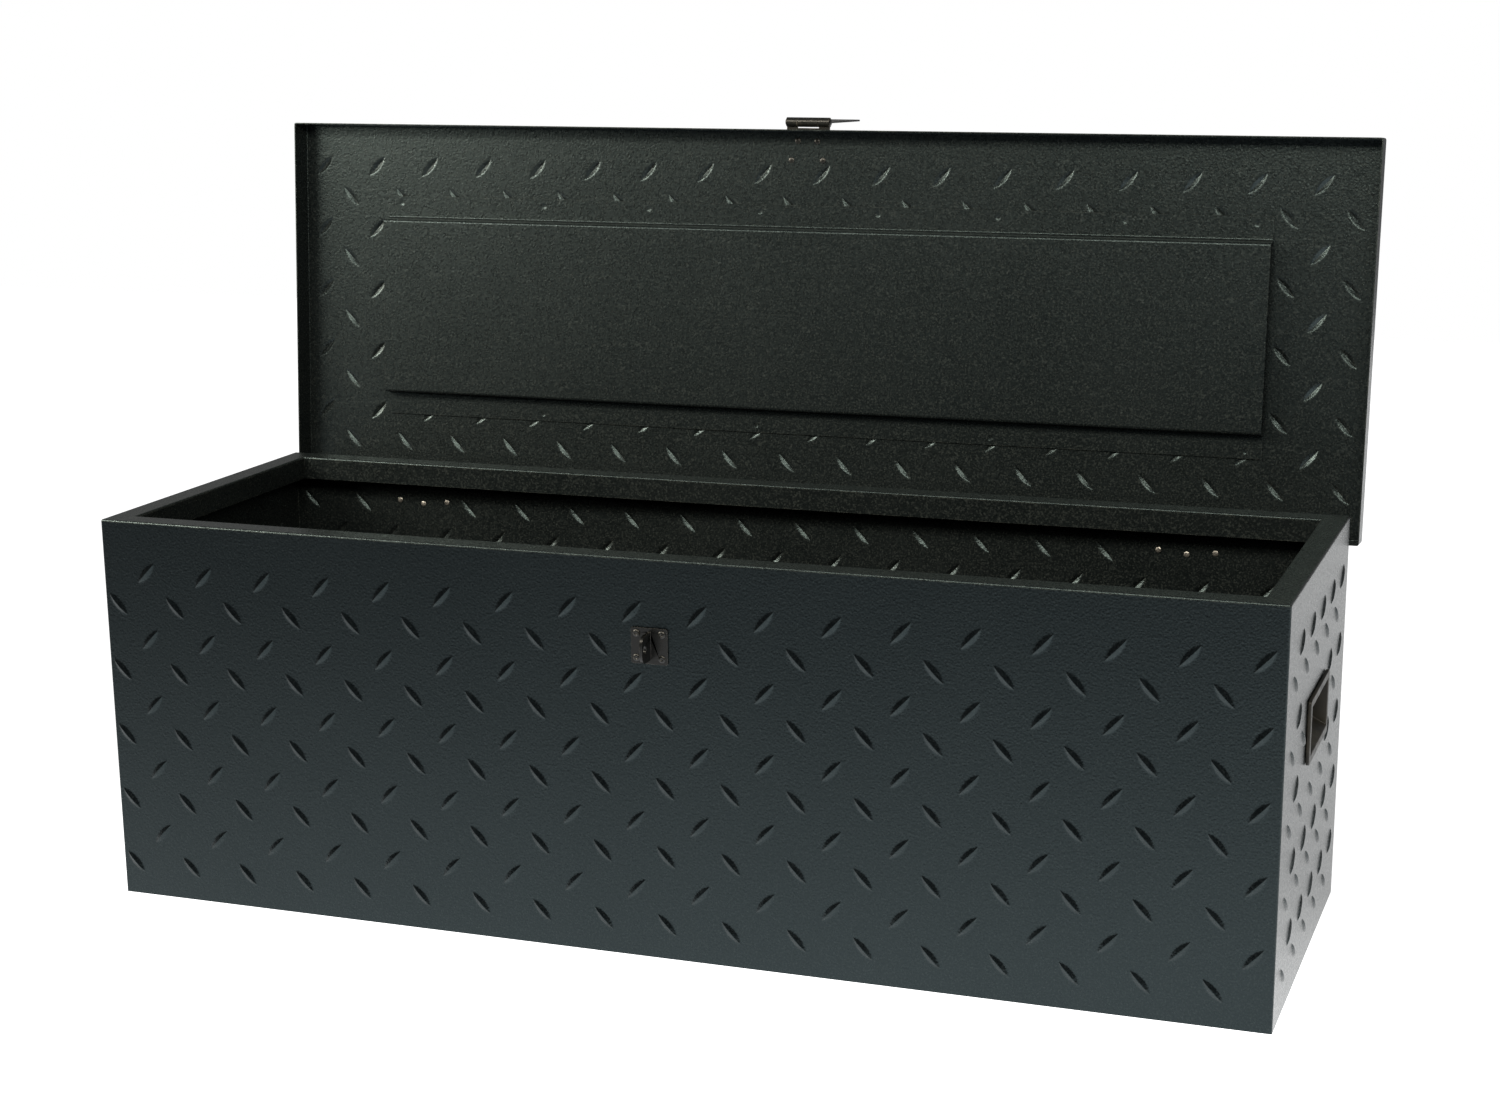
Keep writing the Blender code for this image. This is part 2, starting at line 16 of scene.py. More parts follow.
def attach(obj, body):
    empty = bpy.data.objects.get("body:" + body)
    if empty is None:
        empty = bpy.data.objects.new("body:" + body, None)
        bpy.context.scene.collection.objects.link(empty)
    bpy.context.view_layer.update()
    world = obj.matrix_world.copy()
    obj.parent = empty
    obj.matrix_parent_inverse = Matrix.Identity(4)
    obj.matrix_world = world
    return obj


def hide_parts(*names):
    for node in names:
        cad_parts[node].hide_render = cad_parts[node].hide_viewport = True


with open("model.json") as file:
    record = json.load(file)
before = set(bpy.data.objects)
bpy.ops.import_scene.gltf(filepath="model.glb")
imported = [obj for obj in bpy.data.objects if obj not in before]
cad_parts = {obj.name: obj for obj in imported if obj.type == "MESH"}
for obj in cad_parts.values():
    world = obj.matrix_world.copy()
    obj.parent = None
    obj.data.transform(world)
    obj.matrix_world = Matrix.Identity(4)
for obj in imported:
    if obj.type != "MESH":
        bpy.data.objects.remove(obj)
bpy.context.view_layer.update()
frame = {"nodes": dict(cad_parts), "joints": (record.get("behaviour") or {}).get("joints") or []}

MM = 0.001
QUARTER = math.radians(90)

# Sheet metal
SHEET = 1.2 * MM
BEND = 2.2 * MM
LEDGE = 26 * MM
LIP = 25 * MM
LEDGE_FOLD = 1.8 * MM
BEND_STEPS = 5
CORNER_STEPS = 4
BROKEN_EDGE = 0.35 * MM
SHARP = math.radians(62)
GRIP_LAND = 4 * MM

# A lug of the tread plate: a pointed lens with a ridge, raised outside and hollow inside
LUG_LENGTH = 29 * MM
LUG_WIDTH = 9.6 * MM
LUG_HEIGHT = 2.3 * MM
LUG_ANGLE = math.radians(47)
LUG_COLUMNS = 10
LUG_SECTION = ((1, 0), (0.86, 0.09), (0.5, 0.50), (0.13, 0.92), (0, 1))
GUARD = 1.3 * MM

# The lattice of lugs: the pitch, and where the first lug of each slant is from a panel's left and top
WALL_PITCH = (67.53 * MM, 70.55 * MM)
WALL_RISING = (50.5 * MM, 54.0 * MM)
WALL_FALLING = (14.9 * MM, 88.75 * MM)
END_PITCH = (69.6 * MM, 70.4 * MM)
END_RISING = (82 * MM, 53.5 * MM)
END_FALLING = (48.5 * MM, 85.5 * MM)
LID_PITCH = (67.65 * MM, 70.5 * MM)
LID_RISING = (25 * MM, 47.8 * MM)
LID_FALLING = (58.6 * MM, 82.3 * MM)
EDGE_MARGIN = 1 * MM

# The stiffener inside the lid
HAT_PAN = 198.6 * MM
HAT_DRAFT = 1.5 * MM
HAT_BEND = 2.0 * MM
WELD_RADIUS = 3.2 * MM
WELD_DEPTH = 0.5 * MM
WELD_INSET = 17 * MM
WELD_PLACES = (0.0, 0.182, 0.312, 0.446, 0.584, 0.72, 0.86, 1.0)
WELD_SECTION = ((1.3, 0), (1, 0), (0.72, 0.6), (0.4, 1))
WELD_STEPS = 14

# Hardware. A dimple's numbers are shares of the rivet head's radius and height.
RIVET_SHANK = 2.0 * MM
RIVET_HEAD_HEIGHT = 1.4 * MM
RIVET_TAIL = 3.2 * MM
RIVET_TAIL_HEIGHT = 0.9 * MM
RIVET_STEPS = 32
DIMPLE = (0.36, 0.45)
SMALL_ROUND, STRAP_ROUND, HANDLE_ROUND = 0.4 * MM, 0.5 * MM, 0.9 * MM
ROUND_STEPS = 3
ROUNDED_FROM = math.radians(32)
COPLANAR = math.radians(1)
UP, BACK, AHEAD = (0, 0, 1), (0, 1, 0), (0, -1, 0)
REST = Matrix.Identity(4)

# Points nearer than this are one point: on a sheet's skin, on a CAD mesh or a turned piece, and in
# the plane of a patch
SKIN_WELD = 2e-6
FINE_WELD = 1e-6
SAME_POINT = 1e-7


# --- Reading the frame ---


def node_box(node, into=Matrix.Identity(4)):
    """Lowest and highest corner of a CAD node's points once each is moved by the matrix."""
    points = [into @ v.co for v in frame["nodes"][node].data.vertices]
    low = Vector(min(p[i] for p in points) for i in range(3))
    high = Vector(max(p[i] for p in points) for i in range(3))
    return low, high


def closed_to_rest(joint_name):
    """The turn that takes a piece from the closed lid's pose to its place at rest."""
    joint = next(joint for joint in frame["joints"] if joint["name"] == joint_name)
    pivot = Matrix.Translation(joint["pos_m"])
    closed = math.radians(joint["range_deg"][1])
    return pivot @ Matrix.Rotation(-closed, 4, "X") @ pivot.inverted()


LID_TURN = closed_to_rest("lid_hinge")
LID_BACK = LID_TURN.inverted()
WALL_LOW, WALL_HIGH = node_box("front_panel")
LID_LOW, LID_HIGH = node_box("lid_panel", LID_BACK)
FRONT_Y, REAR_Y = WALL_LOW.y, node_box("rear_panel")[1].y
LENGTH = WALL_HIGH.x - WALL_LOW.x
DEPTH = REAR_Y - FRONT_Y
HEIGHT = WALL_HIGH.z


# --- Materials ---


class Nodes:
    """A material's node tree, with short calls to add nodes and join them."""

    def __init__(self, name):
        self.material = bpy.data.materials.new(name)
        self.material.use_nodes = True
        self.tree = self.material.node_tree
        self.shader = self.tree.nodes["Principled BSDF"]
        self.place = self.add("ShaderNodeTexCoord").outputs["Object"]

    def add(self, kind, **settings):
        node = self.tree.nodes.new(kind)
        for key, value in settings.items():
            if key in node.inputs:
                node.inputs[key].default_value = value
            else:
                setattr(node, key, value)
        return node

    def join(self, source, target):
        self.tree.links.new(source, target)

    def noise(self, size, detail=2.0, roughness=0.5):
        node = self.add("ShaderNodeTexNoise")
        node.inputs["Scale"].default_value = 1 / size
        node.inputs["Detail"].default_value = detail
        node.inputs["Roughness"].default_value = roughness
        self.join(self.place, node.inputs["Vector"])
        return node.outputs["Fac"]

    def cells(self, size):
        node = self.add("ShaderNodeTexVoronoi", feature="SMOOTH_F1")
        node.inputs["Scale"].default_value = 1 / size
        node.inputs["Smoothness"].default_value = 0.6
        self.join(self.place, node.inputs["Vector"])
        return node.outputs["Distance"]

    def ranged(self, value, low, high, from_low=0.0, from_high=1.0):
        node = self.add("ShaderNodeMapRange")
        node.inputs["From Min"].default_value = from_low
        node.inputs["From Max"].default_value = from_high
        node.inputs["To Min"].default_value = low
        node.inputs["To Max"].default_value = high
        self.join(value, node.inputs["Value"])
        return node.outputs["Result"]

    def mixed(self, amount, first, second):
        node = self.add("ShaderNodeMix", data_type="RGBA")
        self.join(amount, node.inputs["Factor"])
        for socket, colour in zip((node.inputs["A"], node.inputs["B"]), (first, second)):
            if isinstance(colour, tuple):
                socket.default_value = (*colour, 1)
            else:
                self.join(colour, socket)
        return node.outputs["Result"]

    def summed(self, first, second, second_share):
        node = self.add("ShaderNodeMath", operation="MULTIPLY_ADD")
        self.join(second, node.inputs[0])
        node.inputs[1].default_value = second_share
        self.join(first, node.inputs[2])
        return node.outputs["Value"]

    def bump(self, height, depth):
        node = self.add("ShaderNodeBump")
        node.inputs["Strength"].default_value = 1.0
        node.inputs["Distance"].default_value = depth
        self.join(height, node.inputs["Height"])
        self.join(node.outputs["Normal"], self.shader.inputs["Normal"])

    def edge_wear_and_highlight(self, radius, noise_size, amount):
        """A mask of the edges that get a lighter colour, for rubbed wear and, on the coat and the blackened
        steel, for a painted highlight too: where the normal, rounded over the radius, leaves the face's own.
        """
        rounded = self.add("ShaderNodeBevel", samples=4, Radius=radius)
        both = self.add("ShaderNodeVectorMath", operation="DOT_PRODUCT")
        self.join(rounded.outputs["Normal"], both.inputs[0])
        self.join(self.add("ShaderNodeNewGeometry").outputs["Normal"], both.inputs[1])
        edge = self.ranged(both.outputs["Value"], 1.0, 0.0, 0.86, 0.985)
        rubbed = self.ranged(self.noise(noise_size, 4.0), 0.0, amount, 0.42, 0.62)
        node = self.add("ShaderNodeMath", operation="MULTIPLY")
        self.join(edge, node.inputs[0])
        self.join(rubbed, node.inputs[1])
        return node.outputs["Value"]

    def finish(self, colour, roughness):
        self.join(colour, self.shader.inputs["Base Color"])
        self.join(roughness, self.shader.inputs["Roughness"])
        return self.material


def powder_coat():
    """Charcoal textured powder coat: leathery grain, faint clouding, pale flecks painted in as the grain's
    sparkle, and lighter edges that are partly rubbed wear and partly a painted highlight.
    """
    n = Nodes("powder_coat")
    grain = n.summed(n.noise(2.4 * MM, 3.0, 0.6), n.cells(2.2 * MM), 0.8)
    clouds = n.ranged(n.noise(180 * MM, 3.0), 0, 1, 0.35, 0.65)
    colour = n.mixed(clouds, (0.0028, 0.0037, 0.0040), (0.0044, 0.0056, 0.0060))
    # Pale flecks: a painted sparkle, standing in for the textured grain catching the light.
    paler_patches = n.ranged(n.noise(1.8 * MM, 2.0), 0, 1, 0.50, 0.72)
    colour = n.mixed(paler_patches, colour, (0.019, 0.0222, 0.0215))
    # Lighter edges: partly rubbed wear, partly a painted highlight along the folds and cut edges.
    colour = n.mixed(n.edge_wear_and_highlight(1.2 * MM, 12 * MM, 0.5), colour, (0.060, 0.064, 0.058))
    n.bump(grain, 0.2 * MM)
    n.shader.inputs["IOR"].default_value = 1.38
    n.shader.inputs["Specular Tint"].default_value = (0.72, 0.95, 1.0, 1)
    return n.finish(colour, n.ranged(n.noise(3 * MM, 3.0), 0.24, 0.34, 0.3, 0.7))


def black_hardware():
    """Blackened steel: semi-gloss, with fine rolling marks, slight browning, and bright edges that are
    partly rubbed wear and partly a painted highlight.
    """
    n = Nodes("black_hardware")
    wear = n.ranged(n.noise(5 * MM, 4.0), 0, 1, 0.55, 0.75)
    colour = n.mixed(wear, (0.0050, 0.0054, 0.0050), (0.011, 0.0105, 0.008))
    # Bright edges: partly rubbed wear, partly a painted highlight along the edges.
    colour = n.mixed(n.edge_wear_and_highlight(0.7 * MM, 4 * MM, 0.8), colour, (0.16, 0.15, 0.125))
    n.bump(n.noise(1.1 * MM, 3.0), 0.05 * MM)
    n.shader.inputs["IOR"].default_value = 1.42
    return n.finish(colour, n.ranged(n.noise(14 * MM, 3.0), 0.22, 0.34, 0.3, 0.7))


def black_plastic():
    """Moulded black plastic: fine spark-eroded grain, scuffed edges and brownish patches."""
    n = Nodes("black_plastic")
    # Brownish patches in the colour, at random.
    paler_patches = n.ranged(n.noise(30 * MM), 0, 1, 0.4, 0.6)
    colour = n.mixed(paler_patches, (0.010, 0.010, 0.009), (0.020, 0.018, 0.013))
    colour = n.mixed(n.edge_wear_and_highlight(0.8 * MM, 6 * MM, 0.4), colour, (0.06, 0.058, 0.05))
    n.bump(n.noise(0.7 * MM, 2.0), 0.06 * MM)
    n.shader.inputs["IOR"].default_value = 1.42
    return n.finish(colour, n.ranged(n.noise(8 * MM), 0.42, 0.55, 0.3, 0.7))


def rivet_steel():
    """Zinc on the rivets, duller in small pits and brighter on the rubbed crown."""
    n = Nodes("rivet_steel")
    pits = n.ranged(n.noise(1.5 * MM, 4.0), 0, 1, 0.4, 0.7)
    colour = n.mixed(pits, (0.22, 0.21, 0.20), (0.52, 0.50, 0.46))
    colour = n.mixed(n.edge_wear_and_highlight(0.4 * MM, 2 * MM, 0.5), colour, (0.70, 0.68, 0.62))
    n.bump(n.noise(0.9 * MM, 3.0), 0.05 * MM)
    n.shader.inputs["Metallic"].default_value = 0.9
    return n.finish(colour, n.ranged(n.noise(2.5 * MM), 0.30, 0.46, 0.3, 0.7))


MATERIALS = {
    "powder_coat": powder_coat(),
    "black_hardware": black_hardware(),
    "black_plastic": black_plastic(),
    "rivet_steel": rivet_steel(),
}


def dress_node(node, slot):
    """Gives a CAD node that stays in view its finished material."""
    for material_slot in frame["nodes"][node].material_slots:
        material_slot.link = "OBJECT"
        material_slot.material = MATERIALS[slot]


def add_piece(name, bm, slot, body, replaced, turn=Matrix.Identity(4)):
    """Makes the piece, rides it on its body and lets it stand for its CAD nodes."""
    mesh = bpy.data.meshes.new(name)
    bm.transform(turn)
    bm.to_mesh(mesh)
    bm.free()
    mesh.shade_smooth()
    mesh.materials.append(MATERIALS[slot])
    obj = bpy.data.objects.new(name, mesh)
    bpy.context.scene.collection.objects.link(obj)
    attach(obj, body)
    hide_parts(*replaced)
    return obj


def add_sheet(name, bm, body, node, turn):
    """A piece of coated sheet: its outer skin thickened inwards, with its cut edges broken."""
    obj = add_piece(name, bm, "powder_coat", body, [node], turn)
    solidify = obj.modifiers.new("Sheet", "SOLIDIFY")
    solidify.thickness = SHEET
    solidify.offset = -1
    solidify.use_even_offset = True
    graph = bpy.context.evaluated_depsgraph_get()
    thick = bpy.data.meshes.new_from_object(obj.evaluated_get(graph))
    obj.modifiers.remove(solidify)
    obj.data = thick
    thick.set_sharp_from_angle(angle=SHARP)
    bevel = obj.modifiers.new("Broken edges", "BEVEL")
    bevel.width = BROKEN_EDGE
    bevel.segments = 2
    bevel.angle_limit = SHARP
    keep_flats(obj)


def keep_flats(obj):
    """Keeps the flat areas flat in the shading, next to the bends and lugs."""
    normals = obj.modifiers.new("Flats", "WEIGHTED_NORMAL")
    normals.mode = "FACE_AREA"
    normals.weight = 80
    normals.keep_sharp = True


# --- Embossed sheet ---


def lug_stamp(centre, angle):
    """Points (u, v, height) of a lug, and the edges of its outline and ridge."""
    half_length, half_width = LUG_LENGTH / 2, LUG_WIDTH / 2
    points, edges = [], []
    rows = [share for share, _ in LUG_SECTION]
    heights = dict(LUG_SECTION)
    tips = []
    lines = {}
    for column in range(LUG_COLUMNS + 1):
        along = math.cos(math.pi * column / LUG_COLUMNS)
        width = half_width * (1 - along**2)
        crest = LUG_HEIGHT * (1 - abs(along) ** 3)
        if column in (0, LUG_COLUMNS):
            tips.append(len(points))
            points.append((along * half_length, 0, 0))
            continue
        for share in rows:
            for side in (1, -1) if share else (1,):
                lines.setdefault(share * side, []).append(len(points))
                points.append((along * half_length, side * share * width, crest * heights[share]))
    for share in (1, -1, 0):
        chain = [tips[0], *lines[share], tips[1]]
        edges += zip(chain, chain[1:])
    for column in range(LUG_COLUMNS + 1):
        along = math.cos(math.pi * column / LUG_COLUMNS)
        width = half_width * (1 - along**2) + GUARD
        for side in (1, -1):
            points.append((along * (half_length + GUARD), side * width, 0))
    turn = Matrix.Rotation(angle, 2)
    placed = [(*(turn @ Vector((s, t)) + Vector(centre)), h) for s, t, h in points]
    return placed, edges


def weld_stamp(centre):
    """A spot weld: a shallow round dent."""
    points, edges = [(*centre, -WELD_DEPTH)], []
    for share, depth in WELD_SECTION:
        first = len(points)
        for i in range(WELD_STEPS):
            angle = 2 * math.pi * i / WELD_STEPS
            u = centre[0] + share * WELD_RADIUS * math.cos(angle)
            v = centre[1] + share * WELD_RADIUS * math.sin(angle)
            points.append((u, v, -WELD_DEPTH * depth))
            edges.append((first + i, first + (i + 1) % WELD_STEPS))
    return points, edges


def patch(low, high, stamps, holes=()):
    """A flat rectangle, in (u, v), with stamps pressed in it and rectangular holes cut out.
    Gives its points as (u, v, height) and its triangles, counter-clockwise."""
    points = [(low[0], low[1], 0), (high[0], low[1], 0), (high[0], high[1], 0), (low[0], high[1], 0)]
    edges = [(0, 1), (1, 2), (2, 3), (3, 0)]
    shapes = list(stamps)
    for (u0, v0), (u1, v1) in holes:
        corners = [(u0, v0, 0), (u1, v0, 0), (u1, v1, 0), (u0, v1, 0)]
        shapes.append((corners, [(0, 1), (1, 2), (2, 3), (3, 0)]))
    for stamp_points, stamp_edges in shapes:
        first = len(points)
        points += stamp_points
        edges += [(a + first, b + first) for a, b in stamp_edges]
    flat = [Vector((u, v)) for u, v, _ in points]
    found, _, faces, origins, _, _ = delaunay_2d_cdt(flat, edges, [], 0, SAME_POINT)
    heights = [points[origin[0]][2] if origin else 0.0 for origin in origins]
    kept = []
    for face in faces:
        middle = sum((found[i] for i in face), Vector((0, 0))) / len(face)
        if not any(u0 < middle.x < u1 and v0 < middle.y < v1 for (u0, v0), (u1, v1) in holes):
            kept.append(tuple(face))
    return [(*co, h) for co, h in zip(found, heights)], kept


def lug_lattice(low, high, left, top, pitch, rising, falling, keep_out=()):
    """Lug stamps for a panel from low to high, laid out from its left and top edges, clear of keep_out."""
    stamps = []
    reach = (LUG_LENGTH / 2 * math.cos(LUG_ANGLE), LUG_LENGTH / 2 * math.sin(LUG_ANGLE))
    inner = [(low[i] + EDGE_MARGIN, high[i] - EDGE_MARGIN) for i in (0, 1)]
    for (first_u, first_v), angle in ((rising, LUG_ANGLE), (falling, -LUG_ANGLE)):
        column = 0
        while left + first_u + column * pitch[0] < high[0]:
            row = 0
            while top - first_v - row * pitch[1] > low[1]:
                centre = (left + first_u + column * pitch[0], top - first_v - row * pitch[1])
                start = [centre[i] - reach[i] for i in (0, 1)]
                end = [centre[i] + reach[i] for i in (0, 1)]
                inside = all(inner[i][0] < start[i] and end[i] < inner[i][1] for i in (0, 1))
                clear = not any(all(a[i] < end[i] and start[i] < b[i] for i in (0, 1)) for a, b in keep_out)
                if inside and clear:
                    stamps.append(lug_stamp(centre, angle))
                row += 1
            column += 1
    return stamps


def add_patch(bm, points, faces, place):
    """Adds a patch, each of its points placed by the function, its face normals along +height."""
    verts = [bm.verts.new(place(*point)) for point in points]
    for face in faces:
        bm.faces.new([verts[i] for i in face])


def add_rows(bm, rows, closed=False):
    """Quads between rows of points of equal number."""
    lines = [[bm.verts.new(point) for point in row] for row in rows]
    for upper, lower in zip(lines, lines[1:]):
        count = len(upper)
        for i in range(count if closed else count - 1):
            j = (i + 1) % count
            corners = [upper[i], upper[j], lower[j], lower[i]]
            bm.faces.new(corners)


def weld_and_face_out(bm, outwards):
    """Joins meeting edges, drops empty faces and turns the skin to look mostly along outwards."""
    bmesh.ops.remove_doubles(bm, verts=bm.verts, dist=SKIN_WELD)
    bmesh.ops.dissolve_degenerate(bm, edges=bm.edges, dist=SAME_POINT)
    bmesh.ops.recalc_face_normals(bm, faces=bm.faces)
    bm.normal_update()
    if sum(face.normal.dot(Vector(outwards)) * face.calc_area() for face in bm.faces) < 0:
        bmesh.ops.reverse_faces(bm, faces=bm.faces)


# --- The chest ---


def wall_skin(length, stamps, holes):
    """The outer skin of a wall whose outer face is y = 0, seen from -Y. It turns half of each upright
    corner, and its top is folded in as a ledge and down as a lip."""
    bm = bmesh.new()
    half = length / 2 - BEND
    points, faces = patch((-half, 0), (half, HEIGHT - BEND), stamps, holes)
    add_patch(bm, points, faces, lambda u, v, h: (u, -h, v))
    turns = [QUARTER / 2 * i / CORNER_STEPS for i in range(CORNER_STEPS + 1)]
    corner = [(-1, a) for a in reversed(turns)] + [(1, a) for a in turns]

    def row(out, z):
        return [(sx * (half + out * math.sin(a)), BEND - out * math.cos(a), z) for sx, a in corner]

    rows = [row(BEND, 0), row(BEND, HEIGHT - BEND)]
    for sx in (-1, 1):
        side = slice(0, CORNER_STEPS + 1) if sx < 0 else slice(CORNER_STEPS + 1, None)
        add_rows(bm, [r[side] for r in rows])
    bend = []
    for i in range(BEND_STEPS + 1):
        lift = QUARTER * i / BEND_STEPS
        bend.append(row(BEND * math.cos(lift), HEIGHT - BEND + BEND * math.sin(lift)))
    add_rows(bm, bend)

    def cut(inwards, z):
        return [(-length / 2 + inwards, inwards, z), (length / 2 - inwards, inwards, z)]

    fold = [cut(BEND, HEIGHT)]
    for i in range(BEND_STEPS + 1):
        down = QUARTER * i / BEND_STEPS
        inwards = LEDGE - LEDGE_FOLD + LEDGE_FOLD * math.sin(down)
        fold.append(cut(inwards, HEIGHT - LEDGE_FOLD + LEDGE_FOLD * math.cos(down)))
    fold.append(cut(LEDGE, HEIGHT - LIP))
    add_rows(bm, fold)
    weld_and_face_out(bm, (0, -1, 0))
    return bm


def split_above(bm, height):
    """Moves the faces above the height to a second mesh, which it gives back."""
    upper = bm.copy()
    for part, sign in ((bm, 1), (upper, -1)):
        gone = [face for face in part.faces if sign * (face.calc_center_median().z - height) > 0]
        bmesh.ops.delete(part, geom=gone, context="FACES")
    return upper


def seen_on_wall(node, turn):
    """A CAD node's outline on a wall, as the low and high (u, v) corners in the wall's own frame."""
    low, high = node_box(node, turn.inverted())
    return (low.x, low.z), (high.x, high.z)


def add_wall(name, node, place, degrees, length, pitch, rising, falling, covers=(), handle=None):
    """A wall as two pieces, its face and the rim folded in from it, with a hole for the handle and no
    lug under the covers."""
    turn = Matrix.Translation(place) @ Matrix.Rotation(math.radians(degrees), 4, "Z")
    keep_out = [seen_on_wall(cover, turn) for cover in covers]
    holes = []
    if handle:
        low, high = seen_on_wall(handle, turn)
        holes.append(((low[0] + GRIP_LAND, low[1] + GRIP_LAND), (high[0] - GRIP_LAND, high[1] - GRIP_LAND)))
        keep_out += holes
    half = length / 2
    area = (-half + BEND, 0), (half - BEND, HEIGHT - BEND)
    stamps = lug_lattice(*area, -half, HEIGHT, pitch, rising, falling, keep_out)
    bm = wall_skin(length, stamps, holes)
    rim = split_above(bm, HEIGHT - BEND)
    add_sheet(name, bm, "box", node, turn)
    add_sheet(name + "_rim", rim, "box", node, turn)


LONG_WALL = (LENGTH, WALL_PITCH, WALL_RISING, WALL_FALLING)
END_WALL = (DEPTH, END_PITCH, END_RISING, END_FALLING)
HINGE_LEAVES = ("hinge_box_leaf_left", "hinge_box_leaf_right")
add_wall("front_wall", "front_panel", (0, FRONT_Y, 0), 0, *LONG_WALL, covers=["staple"])
add_wall("rear_wall", "rear_panel", (0, REAR_Y, 0), 180, *LONG_WALL, covers=HINGE_LEAVES)
for side, x, degrees in (("left", -LENGTH / 2, -90), ("right", LENGTH / 2, 90)):
    add_wall(f"{side}_end_wall", f"{side}_end_panel", (x, 0, 0), degrees, *END_WALL, handle=f"{side}_handle")
dress_node("floor_panel", "powder_coat")


# --- The lid ---


def ring(half_x, half_y, radius, z):
    """A rectangle's outline, moved out by radius and rounded by it."""
    points = []
    for corner, (sx, sy) in enumerate(((1, 1), (-1, 1), (-1, -1), (1, -1))):
        for i in range(CORNER_STEPS + 1):
            angle = QUARTER * (corner + i / CORNER_STEPS)
            out = Vector((math.cos(angle), math.sin(angle))) * radius
            points.append((sx * half_x + out.x, sy * half_y + out.y, z))
    return points


def lid_skin():
    """The lid's outer skin, closed: the plate with its lugs, and four flanges turned down."""
    bm = bmesh.new()
    half_x, half_y = (LID_HIGH.x - LID_LOW.x) / 2, (LID_HIGH.y - LID_LOW.y) / 2
    middle_y, top = (LID_HIGH.y + LID_LOW.y) / 2, LID_HIGH.z
    flat_x, flat_y = half_x - BEND, half_y - BEND
    area = (-flat_x, -flat_y), (flat_x, flat_y)
    # v runs from the front edge, so the layout from the top is mirrored in v.
    stamps = lug_lattice(*area, -half_x, half_y, LID_PITCH, LID_RISING, LID_FALLING)
    points, faces = patch(*area, stamps)
    flipped = [tuple(reversed(face)) for face in faces]
    add_patch(bm, points, flipped, lambda u, v, h: (u, middle_y - v, top + h))
    rings = []
    for i in range(BEND_STEPS + 1):
        down = QUARTER * i / BEND_STEPS
        z = top - BEND + BEND * math.cos(down)
        rings.append(ring(flat_x, flat_y, BEND * math.sin(down), z))
    rings.append(ring(flat_x, flat_y, BEND, LID_LOW.z))
    rings = [[(x, y + middle_y, z) for x, y, z in r] for r in rings]
    add_rows(bm, rings, closed=True)
    weld_and_face_out(bm, (0, 0, 1))
    return bm


add_sheet("lid_shell", lid_skin(), "lid", "lid_panel", LID_TURN)


def arc(centre, radius, start, end, steps):
    """Points from one angle to another, in degrees, about a centre."""
    angles = [math.radians(start + (end - start) * i / steps) for i in range(steps + 1)]
    return [(centre[0] + radius * math.cos(a), centre[1] + radius * math.sin(a)) for a in angles]


def hat_skin():
    """The stiffener's lower skin, closed: flange, web, pan, web, flange."""
    low, high = node_box("lid_stiffener", LID_BACK)
    half = (high.x - low.x) / 2
    middle_y, top = (high.y + low.y) / 2, high.z - SHEET
    bm = bmesh.new()
    pan, edge = HAT_PAN / 2, (high.y - low.y) / 2
    foot = pan + HAT_DRAFT
    inner, outer = HAT_BEND, HAT_BEND + SHEET
    drop = high.z - low.z - SHEET
    section = arc((foot + inner, top - inner), inner, 90, 174, BEND_STEPS)
    section += arc((pan - outer, top - drop + outer), outer, -6, -90, BEND_STEPS)
    rows = [[(x, middle_y + y, z) for x in (-half, half)] for y, z in section]
    mirrored = [[(x, middle_y - y, z) for x in (-half, half)] for y, z in section]
    add_rows(bm, rows)
    add_rows(bm, mirrored)
    add_rows(bm, [rows[-1], mirrored[-1]])
    flat = foot + inner
    for side in (1, -1):
        places = WELD_PLACES if side < 0 else WELD_PLACES[1::2]
        span = 2 * (half - WELD_INSET)
        stamps = [weld_stamp((-half + WELD_INSET + p * span, WELD_INSET + foot)) for p in places]
        points, faces = patch((-half, flat), (half, edge), stamps)
        add_patch(bm, points, faces, lambda u, v, h, s=side: (u, middle_y + s * v, top - h))
    weld_and_face_out(bm, (0, 0, -1))
    return bm


add_sheet("stiffener_skin", hat_skin(), "lid", "lid_stiffener", LID_TURN)


# --- Hardware ---


def add_bevelled(node, slot, body, width):
    """A copy of the CAD node's mesh with its edges rounded, which stands for it."""
    bm = bmesh.new()
    bm.from_mesh(frame["nodes"][node].data)
    bmesh.ops.remove_doubles(bm, verts=bm.verts, dist=FINE_WELD)
    bmesh.ops.dissolve_limit(bm, angle_limit=COPLANAR, verts=bm.verts, edges=bm.edges)
    piece = add_piece(node + "_rounded", bm, slot, body, [node])
    bevel = piece.modifiers.new("Rounded edges", "BEVEL")
    bevel.width = width
    bevel.segments = ROUND_STEPS
    bevel.angle_limit = ROUNDED_FROM
    bevel.harden_normals = True
    keep_flats(piece)


def quarter_round(radius, height, steps=6):
    """(radius, height) points of a dome's section from its rim to its crown."""
    angles = [QUARTER * i / steps for i in range(steps + 1)]
    return [(radius * math.cos(a), height * math.sin(a)) for a in angles]


